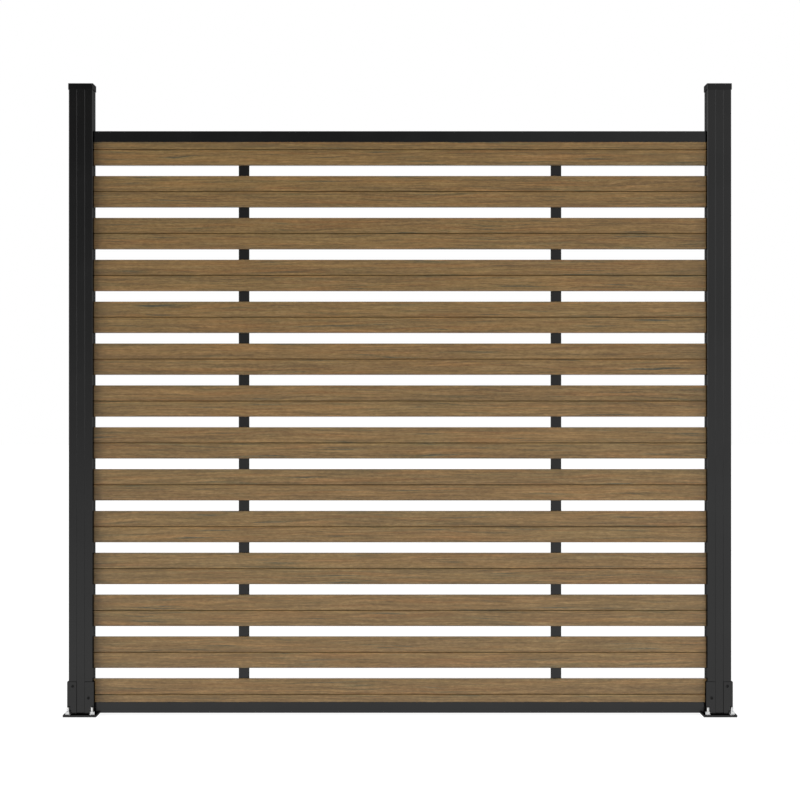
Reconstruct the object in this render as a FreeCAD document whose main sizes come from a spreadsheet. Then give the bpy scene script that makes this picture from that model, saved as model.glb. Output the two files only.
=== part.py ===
import FreeCAD, Part
import os
import Sketcher
from FreeCAD import Placement, Rotation, Vector

# Garden privacy screen: two square slotted posts on bolted base shoes carry horizontal slats.
# The slats slide down the inner slots of the posts, with spacers between them, from a bottom
# rail to a top rail. Millimetres. +X runs along the screen, the front faces -Y and +Z is up.
# The origin is on the ground, midway between the posts.

# Driving sizes: alias, value, what it measures.
SIZES = [
    ("clear_width", 1755, "between the inner faces of the posts"),
    ("post_width", 68, "outside of the square post"),
    ("post_wall", 2, "every wall of the post's section"),
    ("post_corner", 1.5, "radius of the post's outer corners"),
    ("post_rise", 131, "post above the top rail"),
    ("snap_behind", 5, "post face to the snap groove in a slot's side"),
    ("snap_height", 2.5, "width of the snap groove"),
    ("snap_depth", 0.8, "depth of the snap groove"),
    ("slot_play", 0.2, "slot wall to whatever stands in the slot"),
    ("slat_thickness", 20, "front to rear of a slat"),
    ("slat_height", 90, "bottom to top of a slat"),
    ("slat_gap", 30, "open gap between two slats"),
    ("slat_count", 14, "number of slats"),
    ("slat_round", 3, "radius of a slat's long edges"),
    ("groove_width", 3.2, "mouth of the groove along a slat's middle"),
    ("groove_depth", 3.6, "depth of that groove"),
    ("end_expansion", 5.5, "slat end to the floor of the post's slot"),
    ("rail_wall", 1.2, "side walls of a rail"),
    ("rail_web", 1.5, "web under the slat, and the rail's outer web"),
    ("rail_cell", 5, "hollow cell between the two webs"),
    ("rail_grip", 23, "how far a rail covers the slat"),
    ("rail_play", 0.1, "slat face to rail wall"),
    ("spacer_width", 30, "spacer along the slats"),
    ("spacer_depth", 10, "spacer front to rear"),
    ("spacer_offset", 447.6, "middle of the screen to a spacer column"),
    ("end_spacer_depth", 14, "end spacer into the slot"),
    ("end_spacer_inset", 0.5, "post's inner face to the end spacer"),
    ("strip_plate", 1.8, "visible plate of a cover strip"),
    ("strip_leg", 1.2, "thickness of a cover strip's legs"),
    ("strip_leg_inset", 0.4, "strip's edge to the outside of its leg"),
    ("snap_play", 0.2, "snap groove to the strip's barb"),
    ("cap_wall", 1.5, "skirt of the post cap"),
    ("cap_top", 3, "top plate of the post cap"),
    ("cap_skirt", 14.5, "skirt below the top plate"),
    ("cap_play", 0.2, "post face to cap skirt"),
    ("cap_chamfer", 1, "chamfer round the cap's upper edge"),
    ("plate_thickness", 6, "base plate"),
    ("plate_overhang", 10.3, "base plate beyond the shoe, at the sides"),
    ("angle_thickness", 3, "corner angles of the base shoe"),
    ("angle_height", 92, "corner angles above the base plate"),
    ("angle_setback", 0.5, "post's slot to the free edge of a corner angle"),
    ("shoe_play", 0.2, "post face to corner angle"),
    ("screw_offset", 22.5, "post's middle to a shoe screw"),
    ("screw_high", 79.5, "base plate to the upper shoe screws"),
    ("screw_low", 46, "base plate to the lower shoe screws"),
    ("screw_shank", 4.8, "diameter of the shoe screws"),
    ("screw_play", 0.2, "screw shank to its hole in the shoe"),
    ("anchor_gap", 11.3, "face of the shoe to the anchor's axis"),
    ("anchor_edge_side", 13.5, "anchor's axis to the plate's side edge"),
    ("anchor_edge_front", 14, "anchor's axis to the plate's front edge"),
    ("anchor_hole_play", 0.5, "anchor stud to its hole in the plate"),
    ("stud_diameter", 8, "anchor stud"),
    ("stud_proud", 12.2, "stud above its nut"),
    ("washer_diameter", 16, "flat washer"),
    ("washer_thickness", 2, "flat washer"),
    ("washer_play", 0.2, "stud to washer bore"),
    ("nut_across", 13, "across the flats of the nut"),
    ("nut_height", 6.8, "nut"),
]

# Sizes that follow from the driving ones: name, expression.
FITS = [
    ("rail_half", "Sizes.slat_thickness / 2 + Sizes.rail_play + Sizes.rail_wall"),
    ("slot_half", "Fits.rail_half + Sizes.slot_play"),
    ("post_half", "Sizes.post_width / 2"),
    ("slot_floor", "Fits.slot_half + Sizes.post_wall"),
    ("core_half", "Fits.slot_floor - Sizes.post_wall"),
    ("chamber_outer", "Fits.post_half - Sizes.post_wall"),
    ("snap_end", "Sizes.snap_behind + Sizes.snap_height"),
    ("post_offset", "Sizes.clear_width / 2 + Fits.post_half"),
    ("slat_length", "Sizes.clear_width + 2 * (Fits.post_half - Fits.slot_floor - Sizes.end_expansion)"),
    ("slat_pitch", "Sizes.slat_height + Sizes.slat_gap"),
    ("rail_base", "2 * Sizes.rail_web + Sizes.rail_cell"),
    ("rail_height", "Fits.rail_base + Sizes.rail_grip"),
    ("slat_stack", "Sizes.slat_count * Fits.slat_pitch - Sizes.slat_gap"),
    ("first_slat", "Sizes.plate_thickness + Fits.rail_base"),
    ("screen_top", "Fits.first_slat + Fits.slat_stack + Fits.rail_base"),
    ("post_length", "Fits.screen_top + Sizes.post_rise - Sizes.plate_thickness"),
    ("strip_half", "Fits.slot_half - Sizes.slot_play"),
    ("cap_half", "Fits.post_half + Sizes.cap_play + Sizes.cap_wall"),
    ("angle_inner", "Fits.post_half + Sizes.shoe_play"),
    ("shoe_half", "Fits.angle_inner + Sizes.angle_thickness"),
    ("angle_edge", "Fits.slot_half + Sizes.angle_setback"),
    ("plate_half_side", "Fits.shoe_half + Sizes.plate_overhang"),
    ("anchor_side", "Fits.plate_half_side - Sizes.anchor_edge_side"),
    ("anchor_front", "Fits.shoe_half + Sizes.anchor_gap"),
    ("plate_half_front", "Fits.anchor_front + Sizes.anchor_edge_front"),
    ("stud_radius", "Sizes.stud_diameter / 2"),
    ("washer_top", "Sizes.plate_thickness + Sizes.washer_thickness"),
    ("nut_top", "Fits.washer_top + Sizes.nut_height"),
    ("stud_top", "Fits.nut_top + Sizes.stud_proud"),
]

SIDES = (("left", -1), ("right", 1))
QUARTER_TURNS = 4
HALF_TURNS = 2

doc = FreeCAD.newDocument("garden_privacy_screen")
subparts = []


def make_sheet():
    """The sheet of driving sizes and, beside it, the sizes that follow from them."""
    sheet = doc.addObject("Spreadsheet::Sheet", "Sizes")
    for row, (alias, size, meaning) in enumerate(SIZES, start=1):
        sheet.set(f"A{row}", meaning)
        sheet.set(f"B{row}", str(size))
        sheet.setAlias(f"B{row}", alias)
    fits = doc.addObject("App::VarSet", "Fits")
    for name, expression in FITS:
        fits.addProperty("App::PropertyFloat", name, "Fits")
        fits.setExpression(name, expression)
    doc.recompute()
    return sheet


sheet = make_sheet()


def value(expression):
    """The present value of an expression on the sizes."""
    return float(sheet.evalExpression(expression))


def new_body(label):
    """An empty body that becomes the sub-part of that name."""
    body = doc.addObject("PartDesign::Body", label)
    body.Label = label
    subparts.append(body)
    return body


def origin_feature(body, role):
    """The body's own origin plane or axis with that role."""
    return next(item for item in body.Origin.OriginFeatures if item.Role == role)


def new_sketch(body, name, plane, **offsets):
    """A sketch on one of the body's origin planes, moved by x, y or z expressions."""
    sketch = body.newObject("Sketcher::SketchObject", name)
    sketch.AttachmentSupport = [(origin_feature(body, plane), "")]
    sketch.MapMode = "FlatFace"
    for axis, expression in offsets.items():
        sketch.setExpression(f"AttachmentOffset.Base.{axis}", expression)
    return sketch


def pin_point(sketch, element, point, place):
    """Dimensions a point of a sketch from the sketch's origin."""
    for kind, expression in zip(("DistanceX", "DistanceY"), place):
        rule = Sketcher.Constraint(kind, -1, 1, element, point, value(expression))
        sketch.setExpression(f"Constraints[{sketch.addConstraint(rule)}]", expression)


def add_outline(sketch, corners):
    """A closed outline of straight lines through (x, y) corners given as expressions."""
    first = sketch.GeometryCount
    count = len(corners)
    points = [Vector(value(x), value(y), 0) for x, y in corners]
    lines = [Part.LineSegment(points[i], points[(i + 1) % count]) for i in range(count)]
    sketch.addGeometry(lines, False)
    for i in range(count):
        after = first + (i + 1) % count
        sketch.addConstraint(Sketcher.Constraint("Coincident", first + i, 2, after, 1))
    for i, corner in enumerate(corners):
        pin_point(sketch, first + i, 1, corner)


def add_circle(sketch, centre, radius):
    """A circle whose centre and radius are expressions."""
    middle = Vector(value(centre[0]), value(centre[1]), 0)
    circle = Part.Circle(middle, Vector(0, 0, 1), value(radius))
    element = sketch.addGeometry(circle, False)
    pin_point(sketch, element, 3, centre)
    rule = Sketcher.Constraint("Radius", element, value(radius))
    sketch.setExpression(f"Constraints[{sketch.addConstraint(rule)}]", radius)


def rectangle(half_x, half_y):
    """The corners of a rectangle about the sketch's origin."""
    return [
        (f"-({half_x})", f"-({half_y})"),
        (half_x, f"-({half_y})"),
        (half_x, half_y),
        (f"-({half_x})", half_y),
    ]


def quarter_turned(corners, turns):
    """The corners turned about the sketch's origin by quarter turns."""
    for _ in range(turns):
        corners = [(f"-({y})", x) for x, y in corners]
    return corners


def mirrored_pair(corners):
    """The corners followed by their mirror image across the sketch's vertical axis."""
    return corners + [(f"-({x})", y) for x, y in reversed(corners)]


def pad(body, sketch, name, length, symmetric=False):
    """Extrudes a sketch along its normal, or equally to both sides."""
    feature = body.newObject("PartDesign::Pad", name)
    feature.Profile = sketch
    feature.SideType = "Symmetric" if symmetric else "One side"
    feature.setExpression("Length", length)
    doc.recompute()
    return feature


def pocket(body, sketch, name, length, along_normal=False):
    """Cuts a sketch's shape out, against the sketch's normal or along it."""
    feature = body.newObject("PartDesign::Pocket", name)
    feature.Profile = sketch
    feature.Reversed = along_normal
    feature.setExpression("Length", length)
    doc.recompute()
    return feature


def repeat_round(body, features, name, count):
    """Repeats features at equal turns about the body's upright axis."""
    pattern = body.newObject("PartDesign::PolarPattern", name)
    pattern.Originals = features
    pattern.Axis = (origin_feature(body, "Z_Axis"), [""])
    pattern.Angle = 360
    pattern.Occurrences = count
    body.Tip = pattern
    doc.recompute()


def repeat_up(body, features, name, spacing, count):
    """Repeats features upwards at a fixed spacing."""
    pattern = body.newObject("PartDesign::LinearPattern", name)
    pattern.Originals = features
    pattern.Direction = (origin_feature(body, "Z_Axis"), [""])
    pattern.Mode = "Spacing"
    pattern.setExpression("Offset", spacing)
    pattern.setExpression("Occurrences", count)
    body.Tip = pattern
    doc.recompute()


def round_edges(body, base, name, radius, chosen):
    """Fillets the straight edges of a feature that the test picks by their two ends."""
    names = []
    for number, edge in enumerate(base.Shape.Edges, start=1):
        if edge.Curve.TypeId == "Part::GeomLine":
            if chosen(edge.Vertexes[0].Point, edge.Vertexes[1].Point):
                names.append(f"Edge{number}")
    feature = body.newObject("PartDesign::Fillet", name)
    feature.Base = (base, names)
    feature.setExpression("Radius", radius)
    doc.recompute()
    return feature


def near(first, second):
    """Whether two lengths are the same within a hundredth of a millimetre."""
    return abs(first - second) < 0.01


def upright_corner(half_x, half_y):
    """A test for upright edges at the corners of a rectangle about the axis."""
    def chosen(start, end):
        upright = near(start.x, end.x) and near(start.y, end.y)
        return upright and near(abs(start.x), half_x) and near(abs(start.y), half_y)
    return chosen


def place(body, turn=0, about=Vector(0, 0, 1), **offsets):
    """Turns a body in degrees about an axis and moves it by expressions."""
    body.Placement = Placement(Vector(0, 0, 0), Rotation(about, turn))
    for axis, expression in offsets.items():
        body.setExpression(f"Placement.Base.{axis}", expression)


def make_post(name, side):
    """Square extrusion with a slot down each face, four corner chambers and a hollow core."""
    body = new_body(f"{name}_post")
    section = new_sketch(body, f"{name}_post_section", "XY_Plane")
    groove_start = "Fits.post_half - Sizes.snap_behind"
    groove_end = "Fits.post_half - Fits.snap_end"
    groove_side = "Fits.slot_half + Sizes.snap_depth"
    upper_side = [
        ("Fits.slot_floor", "Fits.slot_half"),
        (groove_end, "Fits.slot_half"),
        (groove_end, groove_side),
        (groove_start, groove_side),
        (groove_start, "Fits.slot_half"),
        ("Fits.post_half", "Fits.slot_half"),
    ]
    lower_side = [(x, f"-({y})") for x, y in reversed(upper_side)]
    one_face = [("Fits.post_half", "-Fits.post_half")] + lower_side + upper_side
    outline = []
    for turns in range(QUARTER_TURNS):
        outline += quarter_turned(one_face, turns)
    add_outline(section, outline)
    add_outline(section, rectangle("Fits.core_half", "Fits.core_half"))
    chamber = [
        ("Fits.slot_floor", "Fits.slot_floor"),
        ("Fits.chamber_outer", "Fits.slot_floor"),
        ("Fits.chamber_outer", "Fits.chamber_outer"),
        ("Fits.slot_floor", "Fits.chamber_outer"),
    ]
    for turns in range(QUARTER_TURNS):
        add_outline(section, quarter_turned(chamber, turns))
    length = pad(body, section, f"{name}_post_length", "Fits.post_length")
    half = value("Fits.post_half")
    round_edges(body, length, f"{name}_post_corners", "Sizes.post_corner", upright_corner(half, half))
    place(body, x=f"{side} * Fits.post_offset", z="Sizes.plate_thickness")


def screw_places(side):
    """The two shoe screws of the front face: row, distance across and height above the plate."""
    return (
        ("high", f"{side} * Sizes.screw_offset", "Sizes.screw_high"),
        ("low", f"{-side} * Sizes.screw_offset", "Sizes.screw_low"),
    )


def make_cover_strip(label, side, turn, foot, length):
    """Strip that snaps into a post's slot, drawn for the front face and turned to its own."""
    body = new_body(label)
    section = new_sketch(body, f"{label}_section", "XY_Plane")
    face = "-Fits.post_half"
    leg_outside = "Fits.strip_half - Sizes.strip_leg_inset"
    leg_inside = f"{leg_outside} - Sizes.strip_leg"
    barb_tip = "Fits.slot_half + Sizes.snap_depth - Sizes.snap_play"
    barb_start = f"{face} + Sizes.snap_behind + Sizes.snap_play"
    leg_end = f"{face} + Fits.snap_end - Sizes.snap_play"
    corners = [
        ("Fits.strip_half", face),
        ("Fits.strip_half", f"{face} + Sizes.strip_plate"),
        (leg_outside, f"{face} + Sizes.strip_plate"),
        (leg_outside, barb_start),
        (barb_tip, barb_start),
        (leg_outside, leg_end),
        (leg_inside, leg_end),
        (leg_inside, f"{face} + Sizes.strip_plate"),
    ]
    add_outline(section, mirrored_pair(corners))
    pad(body, section, f"{label}_length", length)
    place(body, turn, x=f"{side} * Fits.post_offset", z=foot)


def make_post_cap(name, side):
    """Flat cap whose skirt slips over the top of the post."""
    body = new_body(f"{name}_post_cap")
    outside = new_sketch(body, f"{name}_cap_outside", "XY_Plane")
    add_outline(outside, rectangle("Fits.cap_half", "Fits.cap_half"))
    block = pad(body, outside, f"{name}_cap_block", "Sizes.cap_skirt + Sizes.cap_top")
    half = value("Fits.cap_half")
    radius = "Sizes.post_corner + Sizes.cap_wall"
    corners = round_edges(body, block, f"{name}_cap_corners", radius, upright_corner(half, half))
    inside = new_sketch(body, f"{name}_cap_inside", "XY_Plane")
    hollow_half = "Fits.post_half + Sizes.cap_play"
    add_outline(inside, rectangle(hollow_half, hollow_half))
    hollow = pocket(body, inside, f"{name}_cap_hollow", "Sizes.cap_skirt", along_normal=True)
    top = value("Sizes.cap_skirt + Sizes.cap_top")
    upper = [
        f"Edge{number}"
        for number, edge in enumerate(hollow.Shape.Edges, start=1)
        if all(near(vertex.Point.z, top) for vertex in edge.Vertexes)
    ]
    crown = body.newObject("PartDesign::Chamfer", f"{name}_cap_crown")
    crown.Base = (hollow, upper)
    crown.setExpression("Size", "Sizes.cap_chamfer")
    foot = "Sizes.plate_thickness + Fits.post_length - Sizes.cap_skirt"
    place(body, x=f"{side} * Fits.post_offset", z=foot)


def make_base_shoe(name, side):
    """Base plate with four upright corner angles that the post stands between."""
    body = new_body(f"{name}_base_shoe")
    outline = new_sketch(body, f"{name}_plate_outline", "XY_Plane")
    add_outline(outline, rectangle("Fits.plate_half_side", "Fits.plate_half_front"))
    pad(body, outline, f"{name}_plate", "Sizes.plate_thickness")
    anchors = new_sketch(body, f"{name}_anchor_holes", "XY_Plane")
    for x_side in (-1, 1):
        for y_side in (-1, 1):
            centre = (f"{x_side} * Fits.anchor_side", f"{y_side} * Fits.anchor_front")
            add_circle(anchors, centre, "Fits.stud_radius + Sizes.anchor_hole_play")
    pocket(body, anchors, f"{name}_anchor_cut", "Sizes.plate_thickness", along_normal=True)
    angle = new_sketch(body, f"{name}_angle_section", "XY_Plane", z="Sizes.plate_thickness")
    corners = [
        ("Fits.shoe_half", "Fits.shoe_half"),
        ("Fits.angle_edge", "Fits.shoe_half"),
        ("Fits.angle_edge", "Fits.angle_inner"),
        ("Fits.angle_inner", "Fits.angle_inner"),
        ("Fits.angle_inner", "Fits.angle_edge"),
        ("Fits.shoe_half", "Fits.angle_edge"),
    ]
    add_outline(angle, corners)
    upright = pad(body, angle, f"{name}_angle", "Sizes.angle_height")
    repeat_round(body, [upright], f"{name}_angles", QUARTER_TURNS)
    cuts = []
    for row, across, up in screw_places(side):
        height = f"Sizes.plate_thickness + {up}"
        hole = new_sketch(body, f"{name}_shoe_{row}", "XZ_Plane", z="Fits.shoe_half")
        add_circle(hole, (across, height), "Sizes.screw_shank / 2 + Sizes.screw_play")
        cuts.append(pocket(body, hole, f"{name}_shoe_{row}_hole", "Sizes.angle_thickness"))
    repeat_round(body, cuts, f"{name}_shoe_holes", HALF_TURNS)
    place(body, x=f"{side} * Fits.post_offset")


def make_at_anchors(label, side, foot, height, draw):
    """Pads the same outline at a shoe's four anchors, from a foot up to a height."""
    body = new_body(label)
    pads = []
    for x_side in (-1, 1):
        name = f"{label}_{len(pads) + 1}"
        outline = new_sketch(body, f"{name}_outline", "XY_Plane", x=f"{x_side} * Fits.anchor_side")
        outline.setExpression("AttachmentOffset.Base.y", "-Fits.anchor_front")
        draw(outline)
        pads.append(pad(body, outline, name, height))
    repeat_round(body, pads, f"{label}_all", HALF_TURNS)
    place(body, x=f"{side} * Fits.post_offset", z=foot)


def draw_stud(sketch):
    """Section of the anchor stud."""
    add_circle(sketch, ("0", "0"), "Fits.stud_radius")


def draw_washer(sketch):
    """Flat ring round the stud."""
    add_circle(sketch, ("0", "0"), "Sizes.washer_diameter / 2")
    add_circle(sketch, ("0", "0"), "Fits.stud_radius + Sizes.washer_play")


def draw_nut(sketch):
    """Hexagon on the stud, with a flat towards the front."""
    corner = "Sizes.nut_across / sqrt(3)"
    flat = "Sizes.nut_across / 2"
    corners = [
        (f"-{corner}", "0"),
        (f"-{corner} / 2", f"-{flat}"),
        (f"{corner} / 2", f"-{flat}"),
        (corner, "0"),
        (f"{corner} / 2", flat),
        (f"-{corner} / 2", flat),
    ]
    add_outline(sketch, corners)
    add_circle(sketch, ("0", "0"), "Fits.stud_radius")


def make_anchors(name, side):
    """Anchor studs flush with the plate's underside, with their washers and nuts."""
    plate_top = "Sizes.plate_thickness"
    make_at_anchors(f"{name}_anchor_studs", side, "0", "Fits.stud_top", draw_stud)
    washers = f"{name}_anchor_washers"
    make_at_anchors(washers, side, plate_top, "Sizes.washer_thickness", draw_washer)
    make_at_anchors(f"{name}_anchor_nuts", side, "Fits.washer_top", "Sizes.nut_height", draw_nut)


def make_rail(label, turn, height):
    """Channel that grips a slat's edge, with a hollow cell behind the slat."""
    body = new_body(label)
    section = new_sketch(body, f"{label}_section", "YZ_Plane")
    mouth_half = "Sizes.slat_thickness / 2 + Sizes.rail_play"
    corners = [
        ("Fits.rail_half", "0"),
        ("Fits.rail_half", "Fits.rail_height"),
        (mouth_half, "Fits.rail_height"),
        (mouth_half, "Fits.rail_base"),
    ]
    add_outline(section, mirrored_pair(corners))
    cell_half = "Fits.rail_half - Sizes.rail_wall"
    cell_top = "Sizes.rail_web + Sizes.rail_cell"
    cell = [
        (f"-({cell_half})", "Sizes.rail_web"),
        (cell_half, "Sizes.rail_web"),
        (cell_half, cell_top),
        (f"-({cell_half})", cell_top),
    ]
    add_outline(section, cell)
    pad(body, section, f"{label}_length", "Fits.slat_length", symmetric=True)
    place(body, turn, Vector(1, 0, 0), z=height)


def make_slat(number):
    """Composite board with rounded long edges and a groove along the middle of each face."""
    label = f"slat_{number + 1:02d}"
    body = new_body(label)
    section = new_sketch(body, f"{label}_section", "YZ_Plane")
    half = "Sizes.slat_thickness / 2"
    corners = [
        (half, "-Sizes.slat_height / 2"),
        (half, "-Sizes.groove_width / 2"),
        (f"{half} - Sizes.groove_depth", "0"),
        (half, "Sizes.groove_width / 2"),
        (half, "Sizes.slat_height / 2"),
    ]
    add_outline(section, mirrored_pair(corners))
    board = pad(body, section, f"{label}_board", "Fits.slat_length", symmetric=True)
    half_height = value("Sizes.slat_height / 2")

    def long_edge(start, end):
        along = near(start.y, end.y) and near(start.z, end.z)
        return along and near(abs(start.z), half_height)

    round_edges(body, board, f"{label}_round", "Sizes.slat_round", long_edge)
    centre = f"Fits.first_slat + Sizes.slat_height / 2 + {number} * Fits.slat_pitch"
    place(body, z=centre)


def make_spacers(name, side):
    """Column of solid blocks between the slats, flush with the slats' rear faces."""
    body = new_body(f"{name}_mid_spacers")
    outline = new_sketch(body, f"{name}_spacer_outline", "XY_Plane")
    add_outline(outline, rectangle("Sizes.spacer_width / 2", "Sizes.spacer_depth / 2"))
    block = pad(body, outline, f"{name}_spacer", "Sizes.slat_gap")
    repeat_up(body, [block], f"{name}_spacer_column", "Fits.slat_pitch", "Sizes.slat_count - 1")
    place(
        body,
        x=f"{side} * Sizes.spacer_offset",
        y="(Sizes.slat_thickness - Sizes.spacer_depth) / 2",
        z="Fits.first_slat + Sizes.slat_height",
    )


def make_end_spacers(name, side):
    """Column of blocks in the post's inner slot, between the ends of the slats."""
    body = new_body(f"{name}_end_spacers")
    outline = new_sketch(body, f"{name}_end_spacer_outline", "XY_Plane")
    half_depth = "Sizes.end_spacer_depth / 2"
    add_outline(outline, rectangle(half_depth, "Fits.strip_half"))
    block = pad(body, outline, f"{name}_end_spacer", "Sizes.slat_gap")
    repeat_up(body, [block], f"{name}_end_column", "Fits.slat_pitch", "Sizes.slat_count - 1")
    centre = f"(Sizes.clear_width / 2 + Sizes.end_spacer_inset + {half_depth})"
    place(body, x=f"{side} * {centre}", z="Fits.first_slat + Sizes.slat_height")


def make_side(name, side):
    """One post with everything that stands on it, in it or under it."""
    make_base_shoe(name, side)
    make_post(name, side)
    outer_turn = 90 * side
    for face, turn in (("front", 0), ("rear", 180), ("outer", outer_turn)):
        label = f"{name}_{face}_cover_strip"
        make_cover_strip(label, side, turn, "Sizes.plate_thickness", "Fits.post_length")
    label = f"{name}_inner_filler_strip"
    make_cover_strip(label, side, -outer_turn, "Fits.screen_top", "Sizes.post_rise")
    make_post_cap(name, side)
    make_anchors(name, side)
    make_spacers(name, side)
    make_end_spacers(name, side)


def check_everything():
    """Stops if any object failed or any sub-part is not a sound solid."""
    for item in doc.Objects:
        if "Invalid" in item.State or "Error" in item.State:
            raise RuntimeError(f"{item.Label} failed: {item.State}")
    for body in subparts:
        shape = body.Shape
        if shape.isNull() or not shape.isValid() or not shape.Solids:
            raise RuntimeError(f"{body.Label} has no valid solid")


for side_name, side_sign in SIDES:
    make_side(side_name, side_sign)
make_rail("bottom_rail", 0, "Sizes.plate_thickness")
make_rail("top_rail", 180, "Fits.screen_top")
for slat_number in range(int(value("Sizes.slat_count"))):
    make_slat(slat_number)
doc.recompute()
check_everything()

os.makedirs("parts", exist_ok=True)
for part_body in subparts:
    part_body.Shape.exportStep(f"parts/{part_body.Label}.step")
print(f"{len(subparts)} sub-parts written")
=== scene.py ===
import math

import bmesh
import bpy
from mathutils import Matrix, Vector


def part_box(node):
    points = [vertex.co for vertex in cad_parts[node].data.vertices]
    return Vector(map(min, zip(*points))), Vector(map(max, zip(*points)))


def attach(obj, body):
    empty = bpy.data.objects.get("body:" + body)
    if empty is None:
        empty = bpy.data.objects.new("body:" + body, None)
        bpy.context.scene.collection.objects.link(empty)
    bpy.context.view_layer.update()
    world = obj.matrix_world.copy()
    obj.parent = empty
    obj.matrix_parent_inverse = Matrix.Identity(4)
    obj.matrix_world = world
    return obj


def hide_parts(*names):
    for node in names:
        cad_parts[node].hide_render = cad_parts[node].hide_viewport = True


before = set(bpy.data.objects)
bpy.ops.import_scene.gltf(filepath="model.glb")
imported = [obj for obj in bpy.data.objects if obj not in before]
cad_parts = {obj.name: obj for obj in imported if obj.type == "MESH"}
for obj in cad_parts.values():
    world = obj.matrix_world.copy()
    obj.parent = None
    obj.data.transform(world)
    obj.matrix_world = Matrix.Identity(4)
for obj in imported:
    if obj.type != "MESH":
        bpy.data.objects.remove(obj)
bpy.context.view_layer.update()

# Garden privacy screen: composite boards between two powder-coated posts on bolted shoes.
# Metres. +X runs along the boards, the front faces -Y and +Z is up.

MM = 0.001
SIDES = (("left", -1), ("right", 1))

# Places and sizes that the frame gives.
POST_LOW, POST_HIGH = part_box("right_post")
POST_X = (POST_LOW.x + POST_HIGH.x) / 2
POST_HALF = (POST_HIGH.x - POST_LOW.x) / 2
PLATE_LOW, PLATE_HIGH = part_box("right_base_shoe")
PLATE_TOP = POST_LOW.z
SHOE_TOP = PLATE_HIGH.z
CAP_LOW, CAP_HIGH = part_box("right_post_cap")
BOARD_LOW, BOARD_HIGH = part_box("slat_01")
BOARD_NODES = sorted(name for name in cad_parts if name.startswith("slat_"))
TOP_BOARD = len(BOARD_NODES) - 1
BOARD_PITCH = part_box("slat_02")[0].z - BOARD_LOW.z
BOARD_HALF = (BOARD_HIGH.z - BOARD_LOW.z) / 2
BOTTOM_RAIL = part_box("bottom_rail")
TOP_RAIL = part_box("top_rail")
FILLER_LOW, FILLER_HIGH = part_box("right_inner_filler_strip")
MID_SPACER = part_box("right_mid_spacers")
END_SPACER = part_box("right_end_spacers")
STUD_LOW, STUD_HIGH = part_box("right_anchor_studs")
WASHER_LOW, WASHER_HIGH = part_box("right_anchor_washers")
NUT_LOW, NUT_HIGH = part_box("right_anchor_nuts")

# Sizes inside the frame's boxes.
PLAY = 0.2 * MM
WALL = 2 * MM
SLOT_HALF = 11.5 * MM
SLOT_DEPTH = POST_HALF - SLOT_HALF - WALL
SNAP_BEHIND = 5 * MM
SNAP_HEIGHT = 2.5 * MM
SNAP_DEPTH = 0.8 * MM
POST_CORNER = 1.5 * MM
INNER_CORNER = 0.5 * MM
LIP = 0.5 * MM
STRIP_HALF = SLOT_HALF - PLAY
STRIP_PLATE = 1.8 * MM
STRIP_LEG = 1.2 * MM
STRIP_LEG_INSET = 0.4 * MM
CAP_WALL = 1.5 * MM
CAP_TOP = 3 * MM
CAP_ROUND = 1 * MM
CAP_CORNER = 1.8 * MM
CAP_LEAST_CORNER = 0.4 * MM
CAP_FOOT_EDGE = 0.25 * MM
ANGLE_THICKNESS = 4 * MM
ANGLE_INSIDE = POST_HALF + PLAY
ANGLE_OUTSIDE = ANGLE_INSIDE + ANGLE_THICKNESS
ANGLE_EDGE = SLOT_HALF + 0.5 * MM
ANGLE_OUTER_ROUND = 1.5 * MM
ANGLE_INNER_ROUND = 0.4 * MM
ANGLE_BROKEN_EDGE = 0.3 * MM
PLATE_CORNER = 2.5 * MM
PLATE_BROKEN_EDGE = 0.4 * MM
BOARD_ROUND = 3 * MM
GROOVE_WIDTH = 3.2 * MM
GROOVE_DEPTH = 3.6 * MM
GROOVE_LIP = 0.4 * MM
GROOVE_FOOT = 0.3 * MM
RAIL_WALL = 1.2 * MM
RAIL_WEB = 1.5 * MM
RAIL_BASE = 8 * MM
RAIL_ROUND = 0.6 * MM
RAIL_LIP = 0.3 * MM
SCREW_OFFSET = 22.5 * MM
SCREW_HIGH = PLATE_TOP + 79.5 * MM
SCREW_LOW = PLATE_TOP + 46 * MM
SCREW_HEAD = 4.3 * MM
SCREW_HEAD_HEIGHT = 2 * MM
STUD_RADIUS = 4 * MM
THREAD_PITCH = 1.25 * MM
ANCHOR_X = (STUD_HIGH.x - STUD_LOW.x) / 2 - STUD_RADIUS
ANCHOR_Y = STUD_HIGH.y - STUD_RADIUS
ANCHOR_HOLE = 4.5 * MM
ANCHOR_TWIST = 0.06
WASHER_RADIUS = 8 * MM
WASHER_EDGE = 0.2 * MM
NUT_ACROSS = 13 * MM
SHARP_DEGREES = 32

# The studio. Directions are in degrees, around the screen from the front with the left
# negative, or up from the horizon. A pair in brackets is where a fade starts and ends.
FLAG_LEFT = (-34, -16)
FLAG_RIGHT = (-2, 12.5)
FLAG_FOOT = (-10.5, 12.5)
FLAG_TOP = (35, 50)
FLAG_STRENGTH = 0.92
FLAG_ON_FLOOR = 0.27
LAMP_HALF_WIDTH = (12, 30)
LAMP_TOP = (25, 45)
LEFT_LAMP, LEFT_STRENGTH = -50, 4.5
RIGHT_LAMP, RIGHT_STRENGTH = 60, 1.2
BACKDROP = (110, 150)
LIGHT_FROM_BEHIND = 0.68
FLOOR_GLOW = 1.15
FLOOR_GLOW_SHARE = 0.78
FLOOR_GREY = 0.8
FLOOR_REACH = 40

# The camera: metres, and the focal length in pixels of a picture of that width.
CAMERA_DISTANCE = 6.746
CAMERA_HEIGHT = 0.902
FOCAL_PIXELS = 2351.7
PICTURE_PIXELS = 800
SENSOR_WIDTH = 36


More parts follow.
